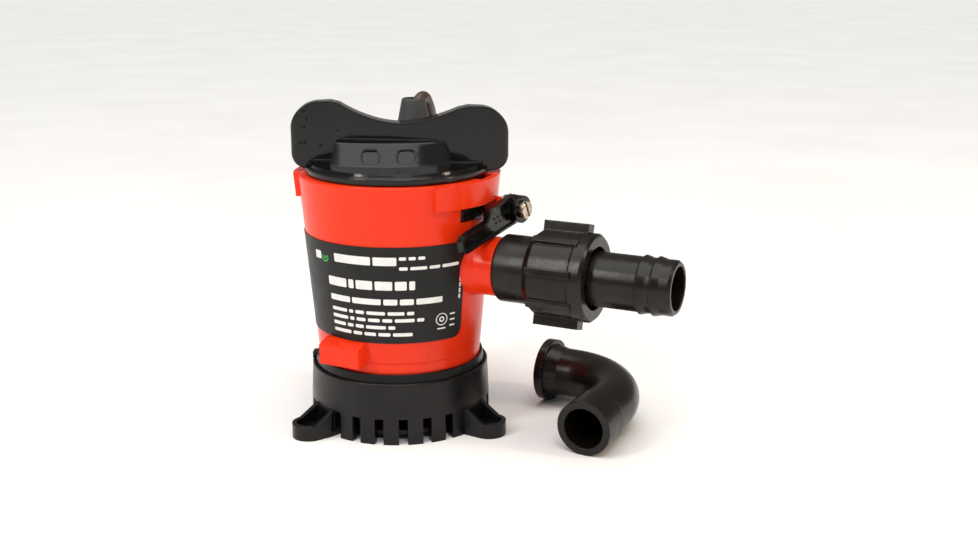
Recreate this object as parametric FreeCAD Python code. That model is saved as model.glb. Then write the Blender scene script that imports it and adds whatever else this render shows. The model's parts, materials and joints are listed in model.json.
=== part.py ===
"""Submersible cartridge bilge pump, as separate solids in millimetres.

Frame: +Z is up along the pump's axis and z = 0 is the face the strainer base stands on.
The outlet points along OUTLET_AZ, and -Y is the side that carries the label.
"""
import FreeCAD
import Part
import math
import os

V = FreeCAD.Vector
UP = V(0, 0, 1)
ORIGIN = V(0, 0, 0)

# ---- clearances ----
GAP = 0.3            # between pieces of different bodies
RUN = 0.05           # radial running clearance of a shaft in its bore

# ---- strainer base ----
BASE_FOOT_R = 34.5
BASE_MID_R = 34.3
BASE_RIM_R = 33.7
BASE_RIM_Z = 23.2
BASE_BORE_R = 32.3
SHELF_BORE_R = 31.1
SHELF_Z = 22.4
COLLAR_R = 31.8
COLLAR_TOP = 26.2
LIP_WALL = 0.8
FLOOR_LOW = 2.0
FLOOR_TOP = 4.0
HUB_R = 7.0
SLOT_W = 3.3
SLOT_TOP = 9.8
SLOT_PITCH = 15.0
SLOT_FIRST = -89.0
FOOT_AZ = (-147.0, -37.0, 88.0)
FOOT_HOLE_AT = 40.9
FOOT_R = 6.4
FOOT_TOP = 5.5
FOOT_RIB_TOP = 10.0
FOOT_WALL = 1.7
FOOT_FLOOR = 2.8
SCREW_HOLE_R = 2.2
TAB_AZ = 173.0
TAB_OUT = 33.9
TAB_LOW = 19.6
TAB_TOP = 24.8

# ---- housing ----
CONE_R = 34.91       # outer radius at CONE_Z
CONE_Z = 74.6
CONE_SLOPE = 0.087
RIM_TOP = 96.0
SKIRT_R = 30.8
SKIRT_TOP = 27.5
HOUSING_LOW = 12.3
HOUSING_FLOOR = 15.0
WALL = 2.2
BORE_R = 33.0
BORE_LOW = 73.5
EYE_R = 10.0
PAD_PROUD = 1.8
PAD_FROM = -70.0
PAD_TO = 2.0
PAD_LOW = 86.9
GROOVE_Z = 30.0
BLOCK_OUT = 36.6
BLOCK_FROM = -12.8
BLOCK_TO = 4.1
BLOCK_LOW = 29.2
BLOCK_TOP = 36.4
BLOCK_RAMP_TOP = 38.2

# ---- outlet ----
OUTLET_AZ = -30.5
OUTLET_Z = 63.75
SPIGOT_R = 10.9
SPIGOT_END = 56.0
WATER_R = 8.0
NECK_R = 12.35
NECK_START = 44.5
NECK_END = 72.0
THREAD_R = 13.0
NUT_START = 57.8
NUT_END = 80.5
NUT_R = 15.5
NUT_RING_R = 15.9
NUT_RING_START = 75.0
NUT_RIB_R = 16.7
NUT_LUG_R = 18.8
NUT_RIBS = 8
NUT_RIB_PHASE = 30.0
NUT_FACE_HOLE_R = 11.4
GASKET_T = 1.6
FLANGE_END = 76.9
TAIL_R = 9.8
TAIL_BORE_R = 7.8
TAIL_END = 110.4
BARB_R = 10.5
BARB_AT = (98.2, 103.2)

# ---- motor cartridge ----
CAP_LOW = RIM_TOP + GAP
CAP_TOP = 100.0
CAP_R = 34.1
CAP_STEP_R = 32.6
CAP_SKIRT_R = BORE_R - GAP
CAP_SKIRT_IN = 30.0
CAP_SKIRT_LOW = 74.4
LUG_LOW = 82.0
LUG_TOP = 86.2
LUG_R = 36.0
LUG_FROM = -51.0
LUG_TO = -32.0
TURN = 17.0
SEAL_Z = 78.0
SEAL_R = 1.0
SEAL_GROOVE = 1.9
BOSS_TOP = 108.0
BOSS_ROUND = 1.2
PANEL_DEPTH = 0.8
PANEL_LOW = 101.0
PANEL_TOP = 105.6
PANEL_CORNER = 1.7
PANELS = ((-12.8, -6.4), (0.0, 6.6))
HANDLE_LOW = 96.8
HANDLE_TOP = 121.9
HANDLE_DROP = 1.2
HANDLE_SHIFT = 1.0
HANDLE_END = 40.3
SADDLE_Z = 114.2
CREASE_X = 23.8
CREASE_Y = 7.8
BOOT_AT = V(6.6, 12.0, 0)
BOOT_TOP = 121.5
BOOT_TOP_R = 4.4
BOOT_LOW = 103.0
BOOT_FLARE_Z = 112.5
BOOT_FLARE_R = 6.2
CAN_R = 21.5
CAN_WALL = 1.4
CAN_TOP = 94.0
CAN_LOW = 27.0

# ---- motor ----
SHAFT_R = 1.58
SHAFT_LOW = 16.2
SHAFT_TOP = 89.0
YOKE_R = 20.0
YOKE_IN = 18.6
YOKE_LOW = 33.0
YOKE_TOP = 80.0
MAGNET_IN = 14.4
MAGNET_LOW = 38.0
MAGNET_TOP = 66.0
CORE_R = 13.8
CORE_LOW = 41.0
CORE_TOP = 63.0
CORE_SLOTS = 5
COMM_R = 4.6
COMM_LOW = 70.0
COMM_TOP = 78.5
BRUSH_Z = 74.5
PLATE_LOW = 80.0
PLATE_TOP = 82.6

# ---- impeller ----
IMPELLER_R = 17.0
IMPELLER_LOW = 16.4
IMPELLER_TOP = 24.6
BLADES = 5

# ---- lock lever: its plane stands off the axis by a distance along LEVER_AZ ----
LEVER_AZ = -40.0
LEVER_IN = 38.9
LEVER_OUT = 41.7
LEVER_HUB_OUT = 44.2
LEVER_PIVOT_S = -18.8
LEVER_PIVOT_Z = 83.4
LEVER_SLOPE = -10.8
LEVER_LENGTH = 34.4
LEVER_EDGE = 5.2
LEVER_FINGER_TOP = 1.5
LEVER_WIDE_TOP = 5.6
LEVER_STEP = 17.2
LEVER_RIM = 0.9
LEVER_TRAY = 0.7
POST_R = 3.6
PIVOT_R = 2.0
SPRING_WIRE = 0.4

# ---- cable ----
CABLE_D = 4.5
FLOOR_GAP = 0.6      # thickness of the tie under the coil
COIL_X = 1.0
COIL_Y = 83.5
COIL_MID_R = 24.75
COIL_ROWS = 3
ROUTE = (
    (6.6, 12.0, 108.0), (6.6, 12.0, 117.6), (10.4, 17.4, 122.6), (12.8, 24.0, 117.0),
    (14.2, 34.0, 109.5), (15.0, 43.5, 98.5), (15.6, 46.6, 83.0), (16.0, 47.4, 66.0),
    (16.6, 47.6, 49.0), (17.4, 48.4, 33.0), (18.6, 51.0, 18.5), (21.0, 56.0, 7.0),
    (25.0, 63.0, 2.85), (28.6, 71.0, 2.85),
)

# ---- loose elbow outlet ----
ELBOW_AT = V(58.9, 12.3, 12.2)
ELBOW_AZ = -33.0
ELBOW_TILT = 2.25
ELBOW_LEG_A = 38.0
ELBOW_LEG_B = 48.0
ELBOW_BEND_R = 25.0
ELBOW_R = 9.5
ELBOW_BORE_R = 7.6
ELBOW_FLANGE_R = 12.2
ELBOW_FLANGE_T = 3.4
ELBOW_MOUTH_R = 10.3
ELBOW_MOUTH_L = 13.0


# ------------------------------------------------------------------ helpers
def save(name, shape):
    """Write one sub-part and report its volume."""
    shape = shape.removeSplitter()
    if not shape.isValid():
        print("INVALID", name)
    print("%-16s solids %d volume %.1f mm3" % (name, len(shape.Solids), shape.Volume))
    shape.exportStep("parts/%s.step" % name)


def disc(radius, low, high):
    return Part.makeCylinder(radius, high - low, V(0, 0, low))


def tube(outer, inner, low, high):
    return disc(outer, low, high).cut(disc(inner, low - 1, high + 1))


def revolve(profile):
    """Revolve a closed (radius, z) outline about the Z axis."""
    points = [V(r, 0, z) for r, z in profile]
    face = Part.Face(Part.makePolygon(points + points[:1]))
    return face.revolve(ORIGIN, UP, 360)


def sector(outer, inner, low, high, start, end):
    """Part of a tube between two azimuths in degrees."""
    outer_cyl = Part.makeCylinder(outer, high - low, V(0, 0, low), UP, end - start)
    inner_cyl = Part.makeCylinder(inner, high - low + 2, V(0, 0, low - 1))
    shape = outer_cyl.cut(inner_cyl)
    shape.rotate(ORIGIN, UP, start)
    return shape


def box(x_low, x_high, y_low, y_high, z_low, z_high):
    return Part.makeBox(x_high - x_low, y_high - y_low, z_high - z_low, V(x_low, y_low, z_low))


def turned(shape, azimuth):
    copy = shape.copy()
    copy.rotate(ORIGIN, UP, azimuth)
    return copy


def both_sides(shape):
    """The shape and its half-turn copy about the Z axis."""
    return shape.fuse(turned(shape, 180))


def on_outlet(shape):
    """Take a shape built along +Z to the outlet's axis."""
    copy = shape.copy()
    copy.rotate(ORIGIN, V(0, 1, 0), 90)
    copy.rotate(ORIGIN, UP, OUTLET_AZ)
    copy.translate(V(0, 0, OUTLET_Z))
    return copy


def on_lever(shape):
    """Take a shape from lever axes to the pump: local x along the plate, y up, z outward."""
    out = V(math.cos(math.radians(LEVER_AZ)), math.sin(math.radians(LEVER_AZ)), 0)
    along = V(out.y, -out.x, 0)
    pivot = along * LEVER_PIVOT_S + UP * LEVER_PIVOT_Z
    matrix = FreeCAD.Matrix(
        along.x, 0, out.x, pivot.x,
        along.y, 0, out.y, pivot.y,
        0, 1, 0, pivot.z,
        0, 0, 0, 1)
    # local axes are left-handed when the plate runs along +x, so the plate runs along -x
    flip = FreeCAD.Matrix(-1, 0, 0, 0, 0, 1, 0, 0, 0, 0, 1, 0, 0, 0, 0, 1)
    placement = FreeCAD.Placement(matrix.multiply(flip))
    copy = shape.copy()
    copy.Placement = placement.multiply(copy.Placement)
    return copy


def cone_radius(z):
    return CONE_R + CONE_SLOPE * (z - CONE_Z)


def prism(points, low, high):
    """Extrude a closed (x, y) polygon along Z."""
    outline = [V(x, y, low) for x, y in points]
    face = Part.Face(Part.makePolygon(outline + outline[:1]))
    return face.extrude(V(0, 0, high - low))


def tangent_path(points, smallest):
    """Straight runs joined by tangent arcs; returns the wire and its arc radii."""
    points = [V(*p) for p in points]
    edges = []
    radii = []
    last = points[0]
    for before, corner, after in zip(points, points[1:], points[2:]):
        run_in = corner - before
        run_out = after - corner
        half_turn = run_in.getAngle(run_out) / 2
        cut = 0.45 * min(run_in.Length, run_out.Length)
        radii.append(max(cut / math.tan(half_turn), smallest))
        run_in.normalize()
        run_out.normalize()
        start = corner - run_in * cut
        end = corner + run_out * cut
        inward = run_out - run_in
        inward.normalize()
        sagitta = radii[-1] / math.cos(half_turn) - radii[-1]
        middle = corner + inward * sagitta
        edges.append(Part.LineSegment(last, start).toShape())
        edges.append(Part.Arc(start, middle, end).toShape())
        last = end
    edges.append(Part.LineSegment(last, points[-1]).toShape())
    return Part.Wire(edges), radii


def round_pipe(wire, radius):
    start = wire.Edges[0].valueAt(wire.Edges[0].FirstParameter)
    heading = wire.Edges[0].tangentAt(wire.Edges[0].FirstParameter)
    circle = Part.Wire(Part.makeCircle(radius, start, heading))
    return wire.makePipeShell([circle], True, False)


# ------------------------------------------------------------------ strainer base
def foot():
    """One mounting lug along +X: a rounded pad with a pocket between two sloping ribs."""
    reach = FOOT_HOLE_AT + FOOT_R
    start = BASE_BORE_R + 0.6
    body = box(start, FOOT_HOLE_AT, -FOOT_R, FOOT_R, 0, FOOT_RIB_TOP)
    body = body.fuse(Part.makeCylinder(FOOT_R, FOOT_RIB_TOP, V(FOOT_HOLE_AT, 0, 0)))
    inner = FOOT_R - FOOT_WALL
    pocket = box(start + 1.6, FOOT_HOLE_AT, -inner, inner, FOOT_FLOOR, FOOT_RIB_TOP + 1)
    pocket = pocket.fuse(Part.makeCylinder(inner, FOOT_RIB_TOP, V(FOOT_HOLE_AT, 0, FOOT_FLOOR)))
    slope_start = start + 1.4
    wedge = Part.Face(Part.makePolygon([
        V(slope_start, -FOOT_R - 1, FOOT_RIB_TOP), V(FOOT_HOLE_AT + 0.5, -FOOT_R - 1, FOOT_TOP),
        V(reach + 1, -FOOT_R - 1, FOOT_TOP), V(reach + 1, -FOOT_R - 1, FOOT_RIB_TOP + 1),
        V(slope_start, -FOOT_R - 1, FOOT_RIB_TOP + 1), V(slope_start, -FOOT_R - 1, FOOT_RIB_TOP)]))
    body = body.cut(wedge.extrude(V(0, 2 * FOOT_R + 2, 0)))
    hole = Part.makeCylinder(SCREW_HOLE_R, 20, V(FOOT_HOLE_AT, 0, -5))
    return body.cut(pocket).cut(hole)


def slot_azimuths():
    """Azimuths of the intake slots, leaving out the ones a foot covers."""
    count = int(round(360 / SLOT_PITCH))
    for index in range(count):
        azimuth = SLOT_FIRST + index * SLOT_PITCH
        nearest = min(abs((azimuth - foot_az + 180) % 360 - 180) for foot_az in FOOT_AZ)
        if nearest > 12:
            yield azimuth


def base_shell():
    """Wall, floor and posts of the strainer before its slots are cut."""
    shell = revolve([
        (BASE_FOOT_R, 0), (BASE_MID_R, SLOT_TOP), (BASE_RIM_R, BASE_RIM_Z - 0.4),
        (BASE_RIM_R - 0.35, BASE_RIM_Z), (BASE_RIM_R - LIP_WALL, BASE_RIM_Z),
        (BASE_RIM_R - LIP_WALL, SHELF_Z), (BASE_RIM_R - LIP_WALL - 0.4, SHELF_Z),
        (COLLAR_R + 0.5, BASE_RIM_Z + 0.4), (COLLAR_R, COLLAR_TOP),
        (SHELF_BORE_R, COLLAR_TOP), (SHELF_BORE_R, 18.0),
        (BASE_BORE_R, 16.0), (BASE_BORE_R - 0.9, SLOT_TOP), (BASE_BORE_R - 1.1, 0)])
    shell = shell.fuse(disc(BASE_BORE_R, FLOOR_LOW, FLOOR_TOP)).fuse(disc(HUB_R, 0, FLOOR_TOP))
    for azimuth in FOOT_AZ:
        post = Part.makeCylinder(2.2, HOUSING_LOW - GAP - FLOOR_TOP + 1, V(26, 0, FLOOR_TOP - 1))
        shell = shell.fuse(turned(post, azimuth + 20))
    return shell


def cut_slots(shape):
    for azimuth in slot_azimuths():
        slot = box(29.6, 37, -SLOT_W / 2, SLOT_W / 2, -1, SLOT_TOP)
        shape = shape.cut(turned(slot, azimuth))
    return shape


def mounting_feet():
    """The three lugs that stand out from the strainer's wall."""
    feet = turned(foot(), FOOT_AZ[0])
    for azimuth in FOOT_AZ[1:]:
        feet = feet.fuse(turned(foot(), azimuth))
    return cut_slots(feet.cut(base_shell()))


def strainer_base():
    shell = cut_slots(base_shell())
    tab = box(32.4, TAB_OUT, -2.2, 2.2, TAB_LOW, TAB_TOP)
    return shell.fuse(turned(tab, TAB_AZ))


# ------------------------------------------------------------------ housing
def rim_pads():
    """Two raised pads under the rim that hold the bayonet's entry channels."""
    angle = PAD_TO - PAD_FROM
    low = cone_radius(PAD_LOW) + PAD_PROUD
    high = cone_radius(RIM_TOP) + PAD_PROUD
    pad = Part.makeCone(low, high, RIM_TOP - PAD_LOW, V(0, 0, PAD_LOW), UP, angle)
    return both_sides(turned(pad, PAD_FROM))


def bayonet_channels():
    """Entry channel and locking window for each lug, with clearance all round."""
    entry = sector(LUG_R + GAP, BORE_R - 1, LUG_LOW - GAP, RIM_TOP + 1,
                   LUG_FROM + TURN - 0.5, LUG_TO + TURN + 0.5)
    window = sector(60, BORE_R - 1, LUG_LOW - GAP, LUG_TOP + GAP, LUG_FROM - 0.6, LUG_TO + 1.0)
    track = sector(LUG_R + GAP, BORE_R - 1, LUG_LOW - GAP, LUG_TOP + GAP,
                   LUG_TO, LUG_TO + TURN + 0.5)
    return both_sides(entry.fuse(window).fuse(track))


def housing_outer():
    return revolve([
        (0, HOUSING_LOW), (SKIRT_R - 0.8, HOUSING_LOW), (SKIRT_R, HOUSING_LOW + 0.8),
        (SKIRT_R, SKIRT_TOP), (cone_radius(GROOVE_Z) - 0.25, SKIRT_TOP + 0.3),
        (cone_radius(GROOVE_Z) - 0.25, GROOVE_Z), (cone_radius(GROOVE_Z + 0.3), GROOVE_Z + 0.3),
        (cone_radius(RIM_TOP - 0.4), RIM_TOP - 0.4), (cone_radius(RIM_TOP) - 0.4, RIM_TOP),
        (0, RIM_TOP)])


def housing_inner():
    low = HOUSING_FLOOR
    return revolve([
        (0, low), (SKIRT_R - WALL - 1, low), (SKIRT_R - WALL, low + 1), (SKIRT_R - WALL, SKIRT_TOP),
        (cone_radius(SKIRT_TOP) - WALL, SKIRT_TOP + 2), (cone_radius(BORE_LOW) - WALL, BORE_LOW - 0.5),
        (BORE_R, BORE_LOW), (BORE_R, RIM_TOP + 1), (0, RIM_TOP + 1)])


def latch_block():
    """Block with a sloping top above the strainer's rim, square to the outlet."""
    outline = [V(24, BLOCK_FROM, BLOCK_LOW), V(BLOCK_OUT, BLOCK_FROM, BLOCK_LOW),
               V(BLOCK_OUT, BLOCK_FROM, BLOCK_TOP), V(31.6, BLOCK_FROM, BLOCK_RAMP_TOP),
               V(24, BLOCK_FROM, BLOCK_RAMP_TOP)]
    face = Part.Face(Part.makePolygon(outline + outline[:1]))
    return turned(face.extrude(V(0, BLOCK_TO - BLOCK_FROM, 0)), OUTLET_AZ - 90)


def spigot_root(grow):
    """Conical root where the spigot leaves the wall."""
    return Part.makeCone(SPIGOT_R + 0.9 + grow, SPIGOT_R + grow, 6, V(0, 0, 31))


def housing():
    outlet_outside = Part.makeCylinder(SPIGOT_R, SPIGOT_END - 25, V(0, 0, 25))
    post = on_lever(Part.makeCylinder(POST_R, LEVER_IN - 0.5 - 24, V(0, 0, 24)))
    body = housing_outer().fuse(rim_pads()).fuse(latch_block()).fuse(post)
    body = body.fuse(on_outlet(outlet_outside.fuse(spigot_root(0))))
    body = body.cut(housing_inner())
    body = body.cut(on_outlet(Part.makeCylinder(WATER_R, SPIGOT_END, V(0, 0, 24))))
    body = body.cut(bayonet_channels())
    body = body.cut(disc(EYE_R, HOUSING_LOW - 1, HOUSING_FLOOR + 1))
    screw_hole = Part.makeCylinder(PIVOT_R, 12, V(0, 0, LEVER_IN - 0.5 - 9))
    return body.cut(on_lever(screw_hole))


def label():
    """Thin wrap-around plate on the cone with rounded corners at its visible end."""
    low, high = 38.3, 74.6
    glue = 0.05
    thick = 0.3
    start, end = -196.0, -46.5
    outer = Part.makeCone(cone_radius(low) + thick, cone_radius(high) + thick, high - low,
                          V(0, 0, low), UP, end - start)
    inner = Part.makeCone(cone_radius(low) + glue, cone_radius(high) + glue, high - low,
                          V(0, 0, low))
    return turned(outer, start).cut(inner).cut(on_outlet(spigot_root(0.2)))


# ------------------------------------------------------------------ outlet
def port_adapter():
    outside = revolve([
        (SPIGOT_R, NECK_START), (NECK_R - 0.7, NECK_START), (NECK_R, NECK_START + 0.9),
        (NECK_R, NUT_START - 0.8), (THREAD_R, NUT_START + 0.4), (THREAD_R, NECK_END),
        (WATER_R, NECK_END), (WATER_R, SPIGOT_END), (SPIGOT_R, SPIGOT_END)])
    return on_outlet(outside)


def port_gasket():
    return on_outlet(tube(THREAD_R - 0.6, WATER_R + 0.2, NECK_END, NECK_END + GASKET_T))


def nut_rib(index):
    tall = index in (1, 5)
    radius = NUT_LUG_R if tall else NUT_RIB_R
    width = 5.6 if tall else 2.6
    rib = box(NUT_R - 1.4, radius, -width / 2, width / 2, NUT_START + 1.6, NUT_RING_START + 1.4)
    # the outlet turn takes local -X to +Z, so a rib's angle is counted from local +Y
    rib.rotate(ORIGIN, UP, 180 - 90 + NUT_RIB_PHASE + index * 360 / NUT_RIBS)
    return rib


def union_nut():
    shape = revolve([
        (THREAD_R + GAP, NUT_START), (NUT_R - 1.5, NUT_START), (NUT_R, NUT_START + 2.2),
        (NUT_R, NUT_RING_START), (NUT_RING_R, NUT_RING_START + 0.5), (NUT_RING_R, NUT_END - 1.0),
        (NUT_RING_R - 1.0, NUT_END), (NUT_FACE_HOLE_R, NUT_END), (NUT_FACE_HOLE_R, FLANGE_END + GAP),
        (THREAD_R + GAP, FLANGE_END + GAP)])
    for index in range(NUT_RIBS):
        shape = shape.fuse(nut_rib(index))
    return on_outlet(shape)


def hose_tail():
    flange_start = NECK_END + GASKET_T + 0.1
    outline = [(TAIL_BORE_R, flange_start), (THREAD_R - 0.4, flange_start),
               (THREAD_R - 0.4, FLANGE_END), (TAIL_R, FLANGE_END)]
    for at in BARB_AT:
        outline += [(TAIL_R, at - 0.4), (BARB_R, at), (BARB_R - 0.1, at + 0.5), (TAIL_R, at + 2.8)]
    outline += [(TAIL_R, TAIL_END - 1.0), (TAIL_R - 0.8, TAIL_END), (TAIL_BORE_R, TAIL_END)]
    return on_outlet(revolve(outline))


def elbow_fitting():
    """Alternative outlet elbow lying beside the pump on its flange rim and its open end."""
    path = [V(0, 0, 0), V(ELBOW_LEG_A - ELBOW_BEND_R, 0, 0),
            V(ELBOW_LEG_A, -ELBOW_BEND_R, 0), V(ELBOW_LEG_A, -ELBOW_LEG_B, 0)]
    turn = ELBOW_BEND_R * (1 - math.sqrt(0.5))
    middle = V(ELBOW_LEG_A - turn, -turn, 0)
    wire = Part.Wire([
        Part.LineSegment(path[0], path[1]).toShape(),
        Part.Arc(path[1], middle, path[2]).toShape(),
        Part.LineSegment(path[2], path[3]).toShape()])
    outside = round_pipe(wire, ELBOW_R)
    flange = Part.makeCylinder(ELBOW_FLANGE_R, ELBOW_FLANGE_T, ORIGIN, V(1, 0, 0))
    collar = Part.makeCone(ELBOW_R + 1.1, ELBOW_R, 5.0, V(ELBOW_FLANGE_T, 0, 0), V(1, 0, 0))
    sleeve = Part.makeCylinder(ELBOW_MOUTH_R, ELBOW_MOUTH_L,
                               V(ELBOW_LEG_A, ELBOW_MOUTH_L - ELBOW_LEG_B, 0), V(0, -1, 0))
    shape = outside.fuse(flange).fuse(collar).fuse(sleeve)
    shape = shape.cut(round_pipe(wire, ELBOW_BORE_R))
    shape.rotate(ORIGIN, V(1, 0, 0), ELBOW_TILT)
    shape.rotate(ORIGIN, UP, ELBOW_AZ)
    shape.translate(ELBOW_AT)
    return shape


# ------------------------------------------------------------------ cartridge cap
def boss():
    """Raised panel under the handle, with a shallow bow front and back."""
    def outline(left, right, front_y, front_bow, back_y, back_bow, z):
        middle = (left + right) / 2
        front = Part.Arc(V(left, front_y, z), V(middle, front_bow, z), V(right, front_y, z))
        back = Part.Arc(V(right, back_y, z), V(middle, back_bow, z), V(left, back_y, z))
        return Part.Wire([
            front.toShape(),
            Part.LineSegment(V(right, front_y, z), V(right, back_y, z)).toShape(),
            back.toShape(),
            Part.LineSegment(V(left, back_y, z), V(left, front_y, z)).toShape()])
    low = outline(-24.6, 19.6, -12.8, -18.0, 14.8, 19.4, CAP_TOP - 0.5)
    high = outline(-22.0, 17.4, -7.6, -11.8, 12.6, 16.6, BOSS_TOP)
    body = Part.makeLoft([low, high], True)
    rim = [edge for edge in body.Edges if edge.BoundBox.ZMin > BOSS_TOP - 0.01]
    body = body.makeFillet(BOSS_ROUND, rim)
    skin = body.cut(body.translated(V(0, PANEL_DEPTH, 0)))
    for x_low, x_high in PANELS:
        body = body.cut(skin.common(panel(x_low, x_high)))
    return body


def panel(x_low, x_high):
    """Round-cornered prism through the boss's front face."""
    solid = box(x_low, x_high, -25, -5, PANEL_LOW, PANEL_TOP)
    upright = [edge for edge in solid.Edges if edge.BoundBox.YLength > 10]
    return solid.makeFillet(PANEL_CORNER, upright)


def handle_plan():
    """Plan of the grip wall: two offset lobes joined by a web, alike after a half turn."""
    end_y = 5.6
    inner_y = 1.0
    half = [
        V(CREASE_X, -CREASE_Y, 0), V(CREASE_X + 1.2, -CREASE_Y - 0.1, 0),
        V(HANDLE_END - 2.4, -end_y - 0.8, 0), V(HANDLE_END, -end_y + 1.6, 0),
        V(HANDLE_END - 2.2, -inner_y - 0.6, 0), V(CREASE_X, -inner_y, 0)]
    return half, [V(-p.x, -p.y, 0) for p in half]


def handle_wall():
    right, left = handle_plan()
    waist = V(1.0, -4.0, 0)
    waist_back = V(-1.0, 4.0, 0)
    edges = []
    for lobe in (right, left):
        edges.append(Part.LineSegment(lobe[0], lobe[1]).toShape())
        edges.append(Part.LineSegment(lobe[1], lobe[2]).toShape())
        edges.append(Part.Arc(lobe[2], lobe[3], lobe[4]).toShape())
        edges.append(Part.LineSegment(lobe[4], lobe[5]).toShape())
        following, through = (left, waist_back) if lobe is right else (right, waist)
        edges.append(Part.Arc(lobe[5], through, following[0]).toShape())
    plan = Part.Face(Part.Wire(edges))
    plan.translate(V(0, 0, HANDLE_LOW))
    return plan.extrude(V(0, 0, HANDLE_TOP + 4 - HANDLE_LOW))


def lobe_side(top):
    """Side outline of one lobe, from under its end round to the start of the saddle."""
    end = HANDLE_END
    low = HANDLE_LOW
    return [V(end - 7.5, 0, low), V(end - 1.6, 0, low + 2.0), V(end, 0, low + 7.0),
            V(end, 0, top - 11.0), V(end - 2.9, 0, top - 3.6), V(end - 10.0, 0, top - 0.2),
            V(CREASE_X + 1.5, 0, top), V(CREASE_X - 2.0, 0, top - 0.8)]


def handle_side():
    """Side outline of the grip: rounded lobes with a saddle between them."""
    points = lobe_side(HANDLE_TOP - HANDLE_DROP)
    mirror = [V(-p.x, 0, p.z) for p in reversed(lobe_side(HANDLE_TOP))]
    saddle = Part.BSplineCurve()
    saddle.interpolate([points[7], V(13.0, 0, SADDLE_Z + 2.3), V(0, 0, SADDLE_Z),
                        V(-13.0, 0, SADDLE_Z + 2.6), mirror[0]])
    edges = [
        Part.Arc(points[0], points[1], points[2]).toShape(),
        Part.LineSegment(points[2], points[3]).toShape(),
        Part.Arc(points[3], points[4], points[5]).toShape(),
        Part.LineSegment(points[5], points[6]).toShape(),
        Part.LineSegment(points[6], points[7]).toShape(),
        saddle.toShape(),
        Part.LineSegment(mirror[0], mirror[1]).toShape(),
        Part.LineSegment(mirror[1], mirror[2]).toShape(),
        Part.Arc(mirror[2], mirror[3], mirror[4]).toShape(),
        Part.LineSegment(mirror[4], mirror[5]).toShape(),
        Part.Arc(mirror[5], mirror[6], mirror[7]).toShape(),
        Part.LineSegment(mirror[7], points[0]).toShape()]
    face = Part.Face(Part.Wire(edges))
    face.translate(V(0, -30, 0))
    return face.extrude(V(0, 60, 0))


def bayonet_lugs():
    lug = sector(LUG_R, CAP_SKIRT_R - 1, LUG_LOW, LUG_TOP, LUG_FROM, LUG_TO)
    return both_sides(lug)


def cartridge_cap():
    shell = revolve([
        (0, CAP_LOW - 2.2), (CAP_SKIRT_IN, CAP_LOW - 2.2), (CAP_SKIRT_IN, CAP_SKIRT_LOW),
        (CAP_SKIRT_R, CAP_SKIRT_LOW), (CAP_SKIRT_R, SEAL_Z - SEAL_R - 0.1),
        (CAP_SKIRT_R - SEAL_GROOVE, SEAL_Z - SEAL_R - 0.1),
        (CAP_SKIRT_R - SEAL_GROOVE, SEAL_Z + SEAL_R + 0.1),
        (CAP_SKIRT_R, SEAL_Z + SEAL_R + 0.1), (CAP_SKIRT_R, CAP_LOW), (CAP_R, CAP_LOW),
        (CAP_R, CAP_TOP - 1.6), (CAP_R - 0.5, CAP_TOP - 1.1), (CAP_STEP_R, CAP_TOP - 1.1),
        (CAP_STEP_R - 0.4, CAP_TOP), (0, CAP_TOP)])
    grip = handle_wall().common(handle_side()).translated(V(HANDLE_SHIFT, 0, 0))
    boot_pad = Part.makeCone(8.4, 7.2, 5.0, V(BOOT_AT.x, BOOT_AT.y + 2.0, CAP_TOP - 0.5))
    can_collar = tube(CAN_R + 2.0, CAN_R, 84.0, CAP_LOW - 2.0)
    cap = shell.fuse(boss()).fuse(grip).fuse(boot_pad).fuse(bayonet_lugs()).fuse(can_collar)
    boot_seat = Part.makeCylinder(5.6, 40, BOOT_AT + V(0, 0, BOOT_LOW))
    wire_way = Part.makeCylinder(CABLE_D / 2 + 0.3, 30, BOOT_AT + V(0, 0, 90.0))
    return cap.cut(boot_seat).cut(wire_way)


def cartridge_seal():
    return Part.makeTorus(CAP_SKIRT_R - SEAL_GROOVE + SEAL_R + 0.05, SEAL_R, V(0, 0, SEAL_Z))


def cable_boot():
    """Rubber strain relief: a plug that flares and tapers, notched where the cable bends out."""
    shape = revolve([
        (0, BOOT_LOW), (5.5, BOOT_LOW), (5.5, BOOT_FLARE_Z - 1.5), (BOOT_FLARE_R, BOOT_FLARE_Z),
        (BOOT_TOP_R + 0.1, BOOT_TOP - 0.4), (BOOT_TOP_R - 0.3, BOOT_TOP), (0, BOOT_TOP)])
    shape.translate(BOOT_AT)
    way = Part.makeCylinder(CABLE_D / 2 + 0.15, BOOT_TOP, BOOT_AT)
    mouth = Part.makeCone(CABLE_D / 2 + 0.15, 3.3, 5.0, BOOT_AT + V(0, 0, BOOT_TOP - 4.5))
    wire, _ = tangent_path(ROUTE[:5], CABLE_D)
    bend = round_pipe(wire, CABLE_D / 2 + 0.25)
    return shape.cut(way).cut(mouth).cut(bend)


# ------------------------------------------------------------------ motor
def motor_can():
    shape = revolve([
        (0, CAN_LOW), (CAN_R - 1, CAN_LOW), (CAN_R, CAN_LOW + 1), (CAN_R, CAN_TOP),
        (CAN_R - CAN_WALL, CAN_TOP), (CAN_R - CAN_WALL, CAN_LOW + 3.0), (6.4, CAN_LOW + 3.0),
        (6.4, CAN_LOW + 1.4), (0, CAN_LOW + 1.4)])
    shape = shape.fuse(disc(5.0, CAN_LOW - 1.2, CAN_LOW + 1.0))
    return shape.cut(disc(4.0, CAN_LOW - 2, CAN_LOW + 4))


def motor_yoke():
    return tube(YOKE_R, YOKE_IN, YOKE_LOW, YOKE_TOP)


def magnets():
    arc = sector(YOKE_IN, MAGNET_IN, MAGNET_LOW, MAGNET_TOP, -65, 65)
    return both_sides(arc)


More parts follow.
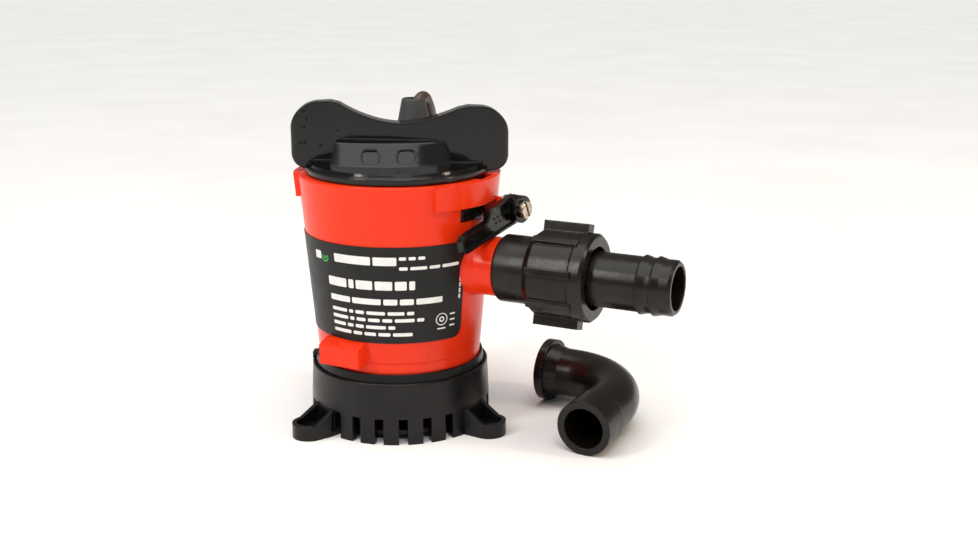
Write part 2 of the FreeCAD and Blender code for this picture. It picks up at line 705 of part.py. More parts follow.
def armature_core():
    core = tube(CORE_R, SHAFT_R, CORE_LOW, CORE_TOP)
    for index in range(CORE_SLOTS):
        mouth = box(7.0, 15, -1.0, 1.0, CORE_LOW - 1, CORE_TOP + 1)
        pocket = Part.makeCylinder(3.1, CORE_TOP - CORE_LOW + 2, V(8.6, 0, CORE_LOW - 1))
        core = core.cut(turned(mouth.fuse(pocket), index * 360 / CORE_SLOTS))
    return core


def windings():
    """Copper in the core's slots and the bunched turns above and below it."""
    copper = tube(12.4, 4.0, CORE_TOP, CORE_TOP + 5.2).fuse(tube(12.4, 4.0, CORE_LOW - 5.2, CORE_LOW))
    for index in range(CORE_SLOTS):
        bar = Part.makeCylinder(2.9, CORE_TOP - CORE_LOW + 2, V(8.6, 0, CORE_LOW - 1))
        notch = Part.makeCylinder(2.0, 20, V(13.2, 0, CORE_TOP + 0.6))
        notch_low = Part.makeCylinder(2.0, 20, V(13.2, 0, CORE_LOW - 20.6))
        azimuth = index * 360 / CORE_SLOTS
        copper = copper.fuse(turned(bar, azimuth))
        copper = copper.cut(turned(notch.fuse(notch_low), azimuth + 180 / CORE_SLOTS))
    return copper


def commutator():
    ring = tube(COMM_R, SHAFT_R, COMM_LOW, COMM_TOP)
    for index in range(CORE_SLOTS):
        cut = box(COMM_R - 1.0, COMM_R + 1, -0.25, 0.25, COMM_LOW + 1.2, COMM_TOP + 1)
        ring = ring.cut(turned(cut, index * 360 / CORE_SLOTS))
    return ring


def brushes():
    block = box(COMM_R + 0.15, 11.0, -1.9, 1.9, BRUSH_Z - 2.4, BRUSH_Z + 2.4)
    wear_face = disc(COMM_R + 0.15, COMM_LOW, COMM_TOP)
    return both_sides(block.cut(wear_face))


def coil_spring(turns, pitch, radius, wire_radius):
    """Helical spring along +Z from the origin."""
    helix = Part.makeLongHelix(pitch, pitch * turns, radius)
    return round_pipe(Part.Wire(helix.Edges), wire_radius)


def brush_springs():
    coil = coil_spring(4, 1.05, 1.4, 0.3)
    coil.rotate(ORIGIN, V(0, 1, 0), 90)
    coil.translate(V(11.35, 0, BRUSH_Z))
    return both_sides(coil)


def brush_plate():
    plate = tube(YOKE_IN - 0.1, 3.2, PLATE_LOW, PLATE_TOP)
    guide = box(7.0, 17.2, -3.0, 3.0, BRUSH_Z - 3.6, PLATE_LOW + 0.5)
    guide = guide.cut(box(6.0, 15.9, -2.0, 2.0, BRUSH_Z - 2.5, BRUSH_Z + 2.5))
    return plate.fuse(both_sides(guide))


def upper_bush():
    return tube(3.2, SHAFT_R + RUN, PLATE_LOW - 0.6, PLATE_TOP + 2.2)


def lower_bush():
    return tube(4.0, SHAFT_R + RUN, CAN_LOW + 1.2, CAN_LOW + 5.2)


def shaft_seal():
    return revolve([
        (SHAFT_R + RUN, CAN_LOW - 1.2), (4.0, CAN_LOW - 1.2), (4.0, CAN_LOW + 1.1),
        (2.6, CAN_LOW + 1.1), (2.6, CAN_LOW - 0.2), (SHAFT_R + RUN, CAN_LOW - 0.6)])


def motor_shaft():
    return disc(SHAFT_R, SHAFT_LOW, SHAFT_TOP)


def impeller():
    hub = tube(4.2, SHAFT_R, IMPELLER_LOW, IMPELLER_TOP)
    plate = tube(IMPELLER_R, SHAFT_R, IMPELLER_TOP - 1.6, IMPELLER_TOP)
    shape = hub.fuse(plate)
    for index in range(BLADES):
        outer = Part.makeCylinder(11.0, IMPELLER_TOP - IMPELLER_LOW - 0.5, V(8.5, 7.6, IMPELLER_LOW))
        inner = Part.makeCylinder(9.6, 20, V(8.5, 7.6, IMPELLER_LOW - 5))
        blade = outer.cut(inner).common(box(0, 20, -12, 2.6, 0, 40))
        blade = blade.common(disc(IMPELLER_R, 0, 40))
        shape = shape.fuse(turned(blade, index * 360 / BLADES))
    return shape.cut(disc(SHAFT_R, IMPELLER_LOW - 1, IMPELLER_TOP + 1))


# ------------------------------------------------------------------ lock lever
def lever_plate(inset, low, high):
    """Outline of the plate in local x, y: a narrow finger that steps up to the wide hub end."""
    edge = LEVER_EDGE - inset
    finger = LEVER_FINGER_TOP - inset
    wide = LEVER_WIDE_TOP - inset
    tip = LEVER_LENGTH - inset
    step = LEVER_STEP - inset
    plate = prism([
        (0, -edge), (tip - 1.6, -edge), (tip, -edge + 1.6), (tip, finger - 1.6),
        (tip - 1.6, finger), (step + 0.8, finger), (step - 0.6, wide - 0.8), (step - 1.4, wide),
        (0, wide)], low, high)
    plate.rotate(ORIGIN, UP, LEVER_SLOPE)
    return plate


def lock_lever():
    """Lever in local axes: x from the pivot to the finger end, y up, z outward."""
    plate = lever_plate(0, LEVER_IN, LEVER_OUT)
    tray = lever_plate(LEVER_RIM, LEVER_OUT - LEVER_TRAY, LEVER_OUT + 1)
    hub = Part.makeCylinder(5.1, LEVER_HUB_OUT - LEVER_IN, V(0, 0, LEVER_IN))
    bore = Part.makeCylinder(PIVOT_R + RUN, 30, V(0, 0, LEVER_IN - 5))
    return on_lever(mirror_plate(plate.cut(tray).fuse(hub).cut(bore)))


def mirror_plate(shape):
    """Swap the plate's direction so that on_lever runs it from the pivot to the front."""
    return shape.mirror(ORIGIN, V(1, 0, 0))


def lever_spring():
    turns = 2
    pitch = 1.2
    coil = coil_spring(turns, pitch, POST_R + SPRING_WIRE + 0.25, SPRING_WIRE)
    coil.translate(V(0, 0, LEVER_IN - 0.6 - pitch * turns))
    return on_lever(coil)


def pivot_screw():
    base = LEVER_HUB_OUT + 0.15
    head = Part.makeCylinder(3.3, 1.9, V(0, 0, base))
    head = head.makeFillet(0.5, [head.Edges[0]])
    shank = Part.makeCylinder(PIVOT_R, base + 0.5 - (LEVER_IN - 9), V(0, 0, LEVER_IN - 9))
    slot = box(-0.5, 0.5, -5, 5, base + 0.9, base + 5)
    slot.rotate(ORIGIN, UP, 25)
    return on_lever(head.fuse(shank).cut(slot))


# ------------------------------------------------------------------ cable
def coil_solid():
    """Outer shape of the wound coil."""
    half = COIL_ROWS * CABLE_D / 2
    height = CABLE_D * (1 + math.sqrt(0.75))
    ring = tube(COIL_MID_R + half, COIL_MID_R - half, FLOOR_GAP, FLOOR_GAP + height)
    ring.translate(V(COIL_X, COIL_Y, 0))
    return ring


def cable_tube(coil):
    wire, radii = tangent_path(ROUTE, CABLE_D)
    print("cable arc radii mm:", " ".join("%.0f" % r for r in radii))
    pipe = round_pipe(wire, CABLE_D / 2)
    expected = math.pi * (CABLE_D / 2) ** 2 * wire.Length
    print("cable length %.1f mm, volume ratio %.4f" % (wire.Length, pipe.Volume / expected))
    return pipe.cut(coil)


def cable_tie():
    """Band round the coil's section at the back of the coil."""
    half = COIL_ROWS * CABLE_D / 2 + 0.1
    top = FLOOR_GAP + CABLE_D * (1 + math.sqrt(0.75)) + 0.05
    outer = box(-3, 3, -half - FLOOR_GAP, half + FLOOR_GAP, 0, top + FLOOR_GAP)
    inner = box(-4, 4, -half, half, FLOOR_GAP - 0.02, top)
    band = outer.cut(inner)
    band.translate(V(COIL_X, COIL_Y + COIL_MID_R, 0))
    return band.cut(coil_solid())


def lead(radius, start, end):
    """One stripped-end lead lying on the coil, as part of a ring."""
    wire_r = 0.95
    z = FLOOR_GAP + CABLE_D * (1 + math.sqrt(0.75)) + wire_r
    shape = Part.makeTorus(radius, wire_r, V(0, 0, 0), UP, -180, 180, end - start)
    shape.rotate(ORIGIN, UP, start)
    shape.translate(V(COIL_X, COIL_Y, z))
    return shape


# ------------------------------------------------------------------ write
def main():
    os.makedirs("parts", exist_ok=True)
    coil = coil_solid()
    save("strainer_base", strainer_base())
    save("mounting_feet", mounting_feet())
    save("housing", housing())
    save("label", label())
    save("port_adapter", port_adapter())
    save("port_gasket", port_gasket())
    save("union_nut", union_nut())
    save("hose_tail", hose_tail())
    save("elbow_fitting", elbow_fitting())
    save("cartridge_cap", cartridge_cap())
    save("cartridge_seal", cartridge_seal())
    save("cable_boot", cable_boot())
    save("motor_can", motor_can())
    save("motor_yoke", motor_yoke())
    save("magnets", magnets())
    save("armature_core", armature_core())
    save("windings", windings())
    save("commutator", commutator())
    save("brushes", brushes())
    save("brush_springs", brush_springs())
    save("brush_plate", brush_plate())
    save("upper_bush", upper_bush())
    save("lower_bush", lower_bush())
    save("shaft_seal", shaft_seal())
    save("motor_shaft", motor_shaft())
    save("impeller", impeller())
    save("lock_lever", lock_lever())
    save("lever_spring", lever_spring())
    save("pivot_screw", pivot_screw())
    save("cable", cable_tube(coil))
    save("cable_coil", coil)
    save("cable_tie", cable_tie())
    save("lead_brown", lead(COIL_MID_R + 1.4, 200, 252))
    save("lead_black", lead(COIL_MID_R - 1.4, 200, 246))


main()
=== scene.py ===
import json
import math

import bmesh
import bpy
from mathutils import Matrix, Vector
from mathutils.bvhtree import BVHTree


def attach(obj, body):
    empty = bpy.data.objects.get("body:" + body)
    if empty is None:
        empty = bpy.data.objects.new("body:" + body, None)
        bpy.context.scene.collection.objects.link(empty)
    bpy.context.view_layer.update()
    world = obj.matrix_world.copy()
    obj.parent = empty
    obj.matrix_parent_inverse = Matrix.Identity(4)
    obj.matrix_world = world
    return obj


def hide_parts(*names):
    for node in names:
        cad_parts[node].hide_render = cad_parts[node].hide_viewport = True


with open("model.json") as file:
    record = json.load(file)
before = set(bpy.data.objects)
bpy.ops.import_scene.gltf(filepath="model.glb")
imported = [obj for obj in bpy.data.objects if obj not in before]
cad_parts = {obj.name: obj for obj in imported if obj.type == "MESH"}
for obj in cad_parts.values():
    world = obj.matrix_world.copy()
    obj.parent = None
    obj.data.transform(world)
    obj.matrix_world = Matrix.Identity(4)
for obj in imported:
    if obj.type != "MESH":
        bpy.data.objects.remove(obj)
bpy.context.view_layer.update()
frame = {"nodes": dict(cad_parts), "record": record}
nodes = frame["nodes"]
scene = bpy.context.scene

# ------------------------------------------------------------------ camera
cam_data = bpy.data.cameras.new("camera")
cam = bpy.data.objects.new("camera", cam_data)
scene.collection.objects.link(cam)
cam.location = (0.0, -0.45528, 0.17587)
cam.rotation_euler = (math.pi / 2 - 0.259, -0.002, -0.075)
cam_data.sensor_width = 36.0
cam_data.lens = 45.23
cam_data.clip_start = 0.01
scene.camera = cam

# ------------------------------------------------------------------ materials


def ramp_colour(tree, source, stops):
    ramp = tree.nodes.new("ShaderNodeValToRGB")
    ramp.color_ramp.elements[0].position = stops[0][0]
    ramp.color_ramp.elements[0].color = (*stops[0][1], 1)
    ramp.color_ramp.elements[1].position = stops[-1][0]
    ramp.color_ramp.elements[1].color = (*stops[-1][1], 1)
    for position, colour in stops[1:-1]:
        ramp.color_ramp.elements.new(position).color = (*colour, 1)
    tree.links.new(source, ramp.inputs["Fac"])
    return ramp.outputs["Color"]


def noise(tree, coords, scale, detail=3.0):
    node = tree.nodes.new("ShaderNodeTexNoise")
    node.inputs["Scale"].default_value = scale
    node.inputs["Detail"].default_value = detail
    tree.links.new(coords, node.inputs["Vector"])
    return node.outputs["Fac"]


def surface(name, low, high, rough, spread=0.06, metal=0.0, coat=0.0, coat_rough=0.1,
            grain=900.0, relief=0.02, round_edge=0.0, specular=0.5, mottle=60.0):
    """Moulded or machined finish: mottled tone, uneven gloss and a fine grain."""
    material = bpy.data.materials.new(name)
    material.use_nodes = True
    tree = material.node_tree
    shader = tree.nodes["Principled BSDF"]
    coords = tree.nodes.new("ShaderNodeTexCoord").outputs["Object"]
    tone = noise(tree, coords, mottle)
    tree.links.new(ramp_colour(tree, tone, [(0.35, low), (0.65, high)]), shader.inputs["Base Color"])
    gloss = tree.nodes.new("ShaderNodeMapRange")
    gloss.inputs["From Min"].default_value = 0.3
    gloss.inputs["From Max"].default_value = 0.7
    gloss.inputs["To Min"].default_value = max(0.02, rough - spread)
    gloss.inputs["To Max"].default_value = rough + spread
    tree.links.new(noise(tree, coords, mottle * 2.2, 4.0), gloss.inputs["Value"])
    tree.links.new(gloss.outputs["Result"], shader.inputs["Roughness"])
    bump = tree.nodes.new("ShaderNodeBump")
    bump.inputs["Strength"].default_value = 0.5
    bump.inputs["Distance"].default_value = relief * 0.001
    tree.links.new(noise(tree, coords, grain, 2.0), bump.inputs["Height"])
    if round_edge:
        edge = tree.nodes.new("ShaderNodeBevel")
        edge.samples = 6
        edge.inputs["Radius"].default_value = round_edge
        tree.links.new(edge.outputs["Normal"], bump.inputs["Normal"])
    tree.links.new(bump.outputs["Normal"], shader.inputs["Normal"])
    shader.inputs["Metallic"].default_value = metal
    shader.inputs["Coat Weight"].default_value = coat
    shader.inputs["Coat Roughness"].default_value = coat_rough
    shader.inputs["Specular IOR Level"].default_value = specular
    return material


RED = surface("housing_plastic", (0.80, 0.030, 0.004), (0.88, 0.040, 0.006), 0.27, 0.04,
              coat=0.10, coat_rough=0.10, grain=420, relief=0.03, round_edge=0.0006, mottle=22,
              specular=0.20)
CAP = surface("cap_plastic", (0.0030, 0.0029, 0.0028), (0.0055, 0.0052, 0.005), 0.13, 0.03,
              coat=0.25, coat_rough=0.05, grain=380, relief=0.04, round_edge=0.0012, specular=0.22)
BASE = surface("base_plastic", (0.0035, 0.0034, 0.0034), (0.0075, 0.0072, 0.007), 0.30, 0.07,
               grain=1300, relief=0.03, round_edge=0.0006, specular=0.28)
# Black fitting plastic. The brown tint in its base colour is a painted warm reflection that stands in
# for warm surroundings seen in the gloss.
FITTING_WITH_PAINTED_SHEEN = surface("fitting_plastic", (0.0045, 0.0036, 0.0026), (0.0105, 0.008, 0.0056), 0.27, 0.07,
                  grain=1100, relief=0.035, round_edge=0.0006, specular=0.28)
BOOT = surface("boot_rubber", (0.040, 0.042, 0.043), (0.065, 0.068, 0.070), 0.55, 0.06,
               grain=1500, relief=0.03, round_edge=0.0004, specular=0.3)
SEAL = surface("seal_rubber", (0.012, 0.012, 0.012), (0.024, 0.023, 0.022), 0.62, 0.06, relief=0.03)
LABEL = surface("label_film", (0.0045, 0.0047, 0.0045), (0.0075, 0.0075, 0.007), 0.42, 0.05,
                grain=1800, relief=0.006, mottle=80, specular=0.3)
PRINT = surface("print_white", (0.76, 0.76, 0.74), (0.86, 0.86, 0.84), 0.5, 0.05, grain=2500,
                relief=0.004, mottle=300)
GREEN = surface("print_green", (0.020, 0.28, 0.045), (0.032, 0.36, 0.065), 0.5, 0.05, grain=2500,
                relief=0.004, mottle=300)
STEEL = surface("steel", (0.42, 0.42, 0.42), (0.55, 0.54, 0.52), 0.34, 0.08, metal=1.0, grain=700)
STAINLESS = surface("stainless", (0.40, 0.34, 0.26), (0.66, 0.59, 0.49), 0.27, 0.09, metal=1.0,
                    grain=1500, relief=0.05, mottle=500, round_edge=0.0003)
FERRITE = surface("ferrite", (0.04, 0.04, 0.045), (0.08, 0.08, 0.085), 0.7, 0.08)
COPPER = surface("copper", (0.45, 0.16, 0.05), (0.70, 0.30, 0.12), 0.35, 0.08, metal=1.0, grain=1800)
CARBON = surface("carbon", (0.02, 0.02, 0.02), (0.05, 0.05, 0.05), 0.6, 0.08)
BOARD = surface("brush_board", (0.24, 0.12, 0.05), (0.36, 0.20, 0.09), 0.6, 0.06)
BRONZE = surface("bronze", (0.42, 0.26, 0.10), (0.58, 0.38, 0.17), 0.45, 0.08, metal=1.0)
WHITE = surface("impeller_plastic", (0.52, 0.52, 0.49), (0.64, 0.64, 0.61), 0.45, 0.06)
JACKET = surface("cable_jacket", (0.045, 0.026, 0.016), (0.075, 0.045, 0.028), 0.42, 0.07,
                 grain=1400, relief=0.03)
TIE = surface("tie_plastic", (0.018, 0.018, 0.018), (0.034, 0.034, 0.033), 0.4, 0.06)
BROWN = surface("lead_brown", (0.12, 0.045, 0.016), (0.20, 0.08, 0.03), 0.4, 0.06)
BLACK = surface("lead_black", (0.012, 0.012, 0.012), (0.025, 0.025, 0.025), 0.4, 0.06)

FINISH = {
    "base_plastic": BASE, "housing_plastic": RED, "label_film": LABEL, "fitting_plastic": FITTING_WITH_PAINTED_SHEEN,
    "seal_rubber": SEAL, "cap_plastic": CAP, "boot_rubber": BOOT, "steel": STEEL,
    "ferrite": FERRITE, "copper": COPPER, "carbon": CARBON, "stainless": STAINLESS,
    "brush_board": BOARD, "bronze": BRONZE, "impeller_plastic": WHITE, "cable_jacket": JACKET,
    "tie_plastic": TIE, "lead_brown": BROWN, "lead_black": BLACK,
}
SLOT_OF = {s["node"]: s["material_slot"] for s in frame["record"]["subparts"]}
for name, node in nodes.items():
    node.data.materials.clear()
    node.data.materials.append(FINISH[SLOT_OF[name]])


def piece(name, mesh, material, body):
    obj = bpy.data.objects.new(name, mesh)
    scene.collection.objects.link(obj)
    obj.data.materials.append(material)
    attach(obj, body)
    return obj


# ------------------------------------------------------------------ lead
LEAD_D = 0.0045
ROUTE = (
    (6.6, 12.0, 108.0), (6.6, 12.0, 117.6), (10.4, 17.4, 122.6), (12.8, 24.0, 117.0),
    (14.2, 34.0, 109.5), (15.0, 43.5, 98.5), (15.6, 46.6, 83.0), (16.0, 47.4, 66.0),
    (16.6, 47.6, 49.0), (17.4, 48.4, 33.0), (18.6, 51.0, 18.5), (21.0, 56.0, 7.0),
    (25.0, 63.0, 2.85), (28.6, 71.0, 2.85),
)
COIL_CENTRE = (1.0, 83.5)
COIL_STEP = 15                # degrees from one point of a turn to the next
COIL_TOTAL = 5 * 360 + 60     # degrees from where the lead meets the coil to its end
COIL_PITCH = 4.5              # mm from one turn to the next
FIRST_OUTER = 29.25
FIRST_INNER = 20.25
FIRST_HELD = 0.85             # turns before the first layer starts inwards
SECOND_OUTER = 27.0
SECOND_HELD = 3.85            # turns before the second layer starts outwards
ON_FLOOR = 2.85
LAYER_RISE = 3.9
CLIMB = 0.16                  # turns that the climb to the second layer takes
LEAD_IN = 1.2                 # mm that the lead stands off the coil where it joins it


def coil_points():
    """Three turns on the floor from the outside in, then two on top of them."""
    found = []
    first = math.degrees(math.atan2(ROUTE[-1][1] - COIL_CENTRE[1], ROUTE[-1][0] - COIL_CENTRE[0]))
    for angle in range(COIL_STEP, COIL_TOTAL + 1, COIL_STEP):
        turn = angle / 360.0
        if turn <= 3.0:
            radius = max(FIRST_INNER, FIRST_OUTER - COIL_PITCH * max(0.0, turn - FIRST_HELD))
            if turn < 0.1:
                radius += LEAD_IN * (1 - turn * 3)
            height = ON_FLOOR
        else:
            rise = min(1.0, (turn - 3.0) / CLIMB)
            height = ON_FLOOR + LAYER_RISE * rise * rise * (3 - 2 * rise)
            radius = FIRST_INNER + COIL_PITCH / 2 * rise + COIL_PITCH * max(0.0, turn - SECOND_HELD)
            radius = min(radius, SECOND_OUTER)
        azimuth = math.radians(first + angle)
        found.append((COIL_CENTRE[0] + radius * math.cos(azimuth),
                      COIL_CENTRE[1] + radius * math.sin(azimuth), height))
    return found


points = [Vector(p) / 1000 for p in list(ROUTE) + coil_points()]
curve = bpy.data.curves.new("lead", "CURVE")
curve.dimensions = "3D"
curve.bevel_depth = LEAD_D / 2
curve.bevel_resolution = 5
curve.resolution_u = 6
spline = curve.splines.new("NURBS")
spline.points.add(len(points) - 1)
for control, point in zip(spline.points, points):
    control.co = (*point, 1.0)
spline.order_u = 3
spline.use_endpoint_u = True
curve.use_fill_caps = True
lead = bpy.data.objects.new("lead", curve)
scene.collection.objects.link(lead)
curve.materials.append(JACKET)
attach(lead, "cartridge")
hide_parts("cable", "cable_coil")

# ------------------------------------------------------------------ label
LABEL_LOW = 38.3
LABEL_TOP = 74.6
LABEL_FROM = -196.0
LABEL_TO = -46.5
CONE_R = 34.91                # mm at the label's top
CONE_SLOPE = 0.087
PATCH_STEP = 1.5              # degrees from one column of a patch to the next
PATCH_ROW = 3.0               # mm from one row of a patch to the next
INK_UNDER = 0.29              # mm that a print's back and face stand off the cone
INK_OVER = 0.33
WORD_GAP = 0.9
RING_STEPS = 28


def wall(z):
    """Radius of the housing's cone at height z, in millimetres."""
    return CONE_R + CONE_SLOPE * (z - LABEL_TOP)


def patch(name, az_low, az_high, z_low, z_high, corner=0.0, inner=INK_UNDER, outer=INK_OVER):
    """Closed plate that follows the cone, with rounded corners of that radius in mm."""
    mesh = bmesh.new()
    width = math.radians(az_high - az_low) * wall((z_low + z_high) / 2)
    columns = max(2, int((az_high - az_low) / PATCH_STEP))
    stations = [i / columns * width for i in range(columns + 1)]
    if corner:
        arc = [corner * (1 - math.cos(math.radians(a))) for a in (15, 30, 45, 60, 75, 90)]
        stations = sorted(set([0.0, width] + [round(a, 5) for a in arc]
                              + [round(width - a, 5) for a in arc]
                              + [s for s in stations if corner < s < width - corner]))
    rows = max(1, int((z_high - z_low) / PATCH_ROW))
    front, back = [], []
    for s in stations:
        inset = 0.0
        near = min(s, width - s)
        if near < corner:
            inset = corner - math.sqrt(max(0.0, corner ** 2 - (corner - near) ** 2))
        azimuth = math.radians(az_low) + s / width * math.radians(az_high - az_low)
        column_front, column_back = [], []
        for r in range(rows + 1):
            z = z_low + inset + (z_high - z_low - 2 * inset) * r / rows
            for radius, column in ((wall(z) + outer, column_front), (wall(z) + inner, column_back)):
                column.append(mesh.verts.new((radius * math.cos(azimuth) / 1000,
                                              radius * math.sin(azimuth) / 1000, z / 1000)))
        front.append(column_front)
        back.append(column_back)
    for i in range(len(stations) - 1):
        for r in range(rows):
            mesh.faces.new((front[i][r], front[i + 1][r], front[i + 1][r + 1], front[i][r + 1]))
            mesh.faces.new((back[i][r], back[i][r + 1], back[i + 1][r + 1], back[i + 1][r]))
        mesh.faces.new((front[i][0], back[i][0], back[i + 1][0], front[i + 1][0]))
        mesh.faces.new((front[i][rows], front[i + 1][rows], back[i + 1][rows], back[i][rows]))
    for r in range(rows):
        mesh.faces.new((front[0][r], front[0][r + 1], back[0][r + 1], back[0][r]))
        last = len(stations) - 1
        mesh.faces.new((front[last][r], back[last][r], back[last][r + 1], front[last][r + 1]))
    data = bpy.data.meshes.new(name)
    mesh.normal_update()
    mesh.to_mesh(data)
    mesh.free()
    for polygon in data.polygons:
        polygon.use_smooth = False
    return data


label = piece("label_plate", patch("label_plate", LABEL_FROM, LABEL_TO, LABEL_LOW, LABEL_TOP,
                                   3.6, 0.05, 0.3),
              LABEL, "housing")
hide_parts("label")


def joined(name, meshes, material, body):
    build = bmesh.new()
    for mesh in meshes:
        build.from_mesh(mesh)
        bpy.data.meshes.remove(mesh)
    data = bpy.data.meshes.new(name)
    build.to_mesh(data)
    build.free()
    return piece(name, data, material, body)


def words(az_low, az_high, z_low, z_high, lengths):
    """A row of print as plain bars, one for each stated share of the row, with gaps between."""
    space = math.degrees(WORD_GAP / wall((z_low + z_high) / 2))
    room = (az_high - az_low) - space * (len(lengths) - 1)
    at = az_low
    found = []
    for share in lengths:
        width = room * share / sum(lengths)
        found.append(patch("bar", at, at + width, z_low, z_high, min(0.45, (z_high - z_low) * 0.35)))
        at += width + space
    return found


bars = []
bars += words(-131.5, -91.5, 67.9, 71.0, (7, 4))
bars += words(-90.0, -74.5, 69.9, 71.1, (3, 3, 3))
bars += words(-90.0, -51.5, 66.2, 67.4, (3, 6, 4, 7))
bars += words(-138.0, -80.5, 58.7, 62.0, (4, 1, 3, 3, 2, 1))
bars += words(-137.5, -62.5, 53.1, 55.3, (9, 11, 5, 5, 10))
bars += words(-137.0, -81.0, 49.2, 50.5, (8, 2, 4, 8, 7, 3))
bars += words(-137.0, -74.5, 46.5, 47.8, (8, 2, 4, 5, 4, 8, 3))
bars += words(-137.0, -93.0, 43.8, 45.1, (7, 3, 4, 9, 3))
bars += words(-137.0, -82.0, 41.1, 42.4, (9, 4, 5, 5, 8))
bars += words(-149.5, -143.5, 67.6, 70.6, (1,))
for z in (53.2, 55.4, 57.6, 59.8, 62.0):
    bars.append(patch("bar", -50.2, -48.9, z, z + 1.7, 0.2))
joined("label_print", bars, PRINT, "housing")


def flat_ring(azimuth, z, radius, width, start=0.0, end=360.0):
    """Ring or arc printed on the cone."""
    mesh = bmesh.new()
    loops = []
    for i in range(RING_STEPS + 1):
        angle = math.radians(start + (end - start) * i / RING_STEPS)
        loop = []
        for r in (radius - width / 2, radius + width / 2):
            height = z + r * math.sin(angle)
            place = math.radians(azimuth) + r * math.cos(angle) / wall(height)
            for lift in (INK_OVER, INK_UNDER):
                size = (wall(height) + lift) / 1000
                spot = (size * math.cos(place), size * math.sin(place), height / 1000)
                loop.append(mesh.verts.new(spot))
        loops.append(loop)
    for a, b in zip(loops, loops[1:]):
        mesh.faces.new((a[0], a[2], b[2], b[0]))
        mesh.faces.new((a[1], b[1], b[3], a[3]))
        mesh.faces.new((a[0], b[0], b[1], a[1]))
        mesh.faces.new((a[2], a[3], b[3], b[2]))
    bmesh.ops.remove_doubles(mesh, verts=mesh.verts, dist=1e-8)
    bmesh.ops.recalc_face_normals(mesh, faces=mesh.faces)
    data = bpy.data.meshes.new("ring")
    mesh.to_mesh(data)
    mesh.free()
    return data


joined("label_marks", [flat_ring(-62.5, 46.4, 2.2, 0.35), flat_ring(-62.5, 46.4, 0.8, 0.5),
                       patch("bar", -65.5, -59.5, 42.6, 43.1),
                       patch("bar", -56.5, -52.5, 47.6, 48.2, 0.2),
                       patch("bar", -56.5, -52.5, 45.4, 46.0, 0.2),
                       patch("bar", -56.5, -52.5, 43.2, 43.8, 0.2)],
       PRINT, "housing")
joined("label_sign", [flat_ring(-139.8, 68.7, 1.5, 0.6, 150, 390), flat_ring(-139.8, 68.7, 0.35, 0.5)],
       GREEN, "housing")

# ------------------------------------------------------------------ moulded pips
PIP_SIDES = 14
PIP_PROFILE = ((-0.08, 1.0), (0.35, 0.97), (0.75, 0.80), (1.0, 0.45))   # share of height, of width


def pips(name, node, spots, toward, material, body):
    """Low rounded pips on a CAD node: each spot is a place in mm seen along `toward`, with its two
    half sizes and its height."""
    skin = nodes[node].data
    tree = BVHTree.FromPolygons([v.co for v in skin.vertices], [p.vertices for p in skin.polygons])
    mesh = bmesh.new()
    for place, half_wide, half_high, rise in spots:
        hit, normal, _, _ = tree.ray_cast(Vector(place) / 1000, toward)
        if hit is None:
            raise RuntimeError(f"{name}: no surface at {place}")
        across = Vector((0, 0, 1)).cross(normal).normalized()
        up = normal.cross(across)
        rings = []
        for level, share in PIP_PROFILE:
            ring = []
            for k in range(PIP_SIDES):
                angle = 2 * math.pi * k / PIP_SIDES
                offset = across * half_wide * math.cos(angle) + up * half_high * math.sin(angle)
                offset *= share
                ring.append(mesh.verts.new(hit + (offset + normal * rise * level) / 1000))
            rings.append(ring)
        for lower, upper in zip(rings, rings[1:]):
            for k in range(PIP_SIDES):
                after = (k + 1) % PIP_SIDES
                mesh.faces.new((lower[k], lower[after], upper[after], upper[k]))
        mesh.faces.new(rings[-1])
        mesh.faces.new(list(reversed(rings[0])))
    data = bpy.data.meshes.new(name)
    mesh.to_mesh(data)
    mesh.free()
    for polygon in data.polygons:
        polygon.use_smooth = True
    return piece(name, data, material, body)


pips("grip_pips", "cartridge_cap",
     [((x, -60, z), wide, high, 0.35) for x, z, wide, high in (
         (-34.0, 118.6, 0.9, 0.7), (-33.4, 115.6, 0.8, 0.8), (-34.6, 112.5, 0.9, 0.7),
         (-34.1, 106.9, 0.7, 0.9), (-35.9, 106.5, 0.6, 0.6), (-21.8, 111.2, 0.6, 0.5),
         (-28.3, 105.5, 0.6, 0.6))],
     Vector((0, 1, 0)), CAP, "cartridge")

LEVER_OUT = Vector((math.cos(math.radians(-40)), math.sin(math.radians(-40)), 0))
LEVER_ALONG = Vector((LEVER_OUT.y, -LEVER_OUT.x, 0))
LEVER_PIN = LEVER_ALONG * -18.8 + Vector((0, 0, 83.4))
LEVER_DROP = math.tan(math.radians(10.8))


def lever_spot(along, rise):
    return tuple(LEVER_PIN + LEVER_ALONG * along + LEVER_OUT * 90
                 + Vector((0, 0, rise - along * LEVER_DROP)))


pips("lever_pips", "lock_lever",
     [(lever_spot(along, rise), wide, 0.45, 0.3) for along, rise, wide in (
         (7.0, 1.0, 0.6), (9.2, 1.0, 0.8), (11.6, 1.0, 0.7), (13.8, 1.0, 0.6),
         (7.6, -0.9, 0.8), (10.2, -0.9, 0.6), (12.4, -0.9, 0.8))],
     -LEVER_OUT, CAP, "lever")

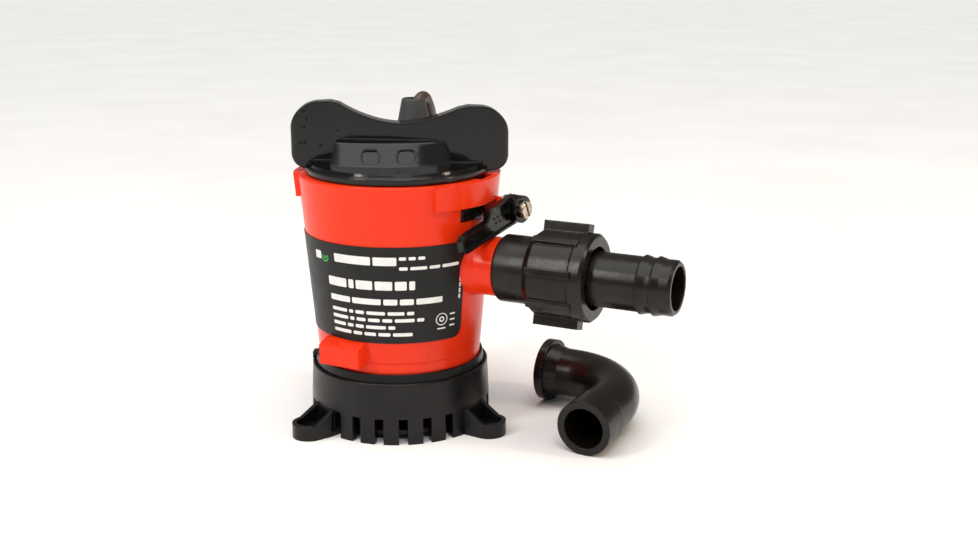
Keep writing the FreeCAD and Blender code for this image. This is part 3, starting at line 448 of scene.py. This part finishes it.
# ------------------------------------------------------------------ stage
paper = surface("paper", (0.90, 0.90, 0.89), (0.94, 0.94, 0.93), 0.8, 0.04, grain=300, relief=0.02,
                mottle=8)
FLOOR_HALF = 6.0
floor_mesh = bpy.data.meshes.new("floor")
floor_mesh.from_pydata([(-FLOOR_HALF, -FLOOR_HALF, 0), (FLOOR_HALF, -FLOOR_HALF, 0),
                        (FLOOR_HALF, FLOOR_HALF, 0), (-FLOOR_HALF, FLOOR_HALF, 0)],
                       [], [(0, 1, 2, 3)])
floor_mesh.materials.append(paper)
floor = bpy.data.objects.new("floor", floor_mesh)
scene.collection.objects.link(floor)


def area(name, place, target, width, height, power, colour=(1, 1, 1)):
    data = bpy.data.lights.new(name, "AREA")
    data.shape = "RECTANGLE"
    data.size = width
    data.size_y = height
    data.energy = power
    data.color = colour
    obj = bpy.data.objects.new(name, data)
    scene.collection.objects.link(obj)
    obj.location = place
    obj.rotation_euler = (Vector(target) - Vector(place)).to_track_quat("-Z", "Y").to_euler()


area("key_left", (-0.62, -0.45, 0.60), (0, 0, 0.06), 0.14, 0.45, 3.0, (1.0, 0.97, 0.93))
area("fill_right", (0.80, -0.30, 0.50), (0.03, 0, 0.06), 0.12, 0.36, 2.6, (1.0, 0.80, 0.60))
area("front_high", (0.10, -0.75, 0.85), (0.02, 0, 0.06), 0.35, 0.16, 1.8, (1.0, 0.97, 0.94))

sun_data = bpy.data.lights.new("overhead", "SUN")
sun_data.energy = 1.95
sun_data.angle = math.radians(60)
sun_data.color = (1.0, 0.985, 0.965)
sun = bpy.data.objects.new("overhead", sun_data)
sun.rotation_euler = (math.radians(8), math.radians(-6), 0)
scene.collection.objects.link(sun)

world = bpy.data.worlds.new("world")
world.use_nodes = True
sky = world.node_tree
heading = sky.nodes.new("ShaderNodeTexCoord")
parts = sky.nodes.new("ShaderNodeSeparateXYZ")
sky.links.new(heading.outputs["Generated"], parts.inputs["Vector"])
sky.links.new(ramp_colour(sky, parts.outputs["Z"], [
    (0.0, (0.42, 0.415, 0.41)), (0.25, (0.20, 0.196, 0.19)), (0.6, (0.22, 0.216, 0.21)),
    (1.0, (0.60, 0.59, 0.58))]), sky.nodes["Background"].inputs["Color"])
sky.nodes["Background"].inputs["Strength"].default_value = 1.0
scene.world = world
scene.view_settings.view_transform = "Standard"
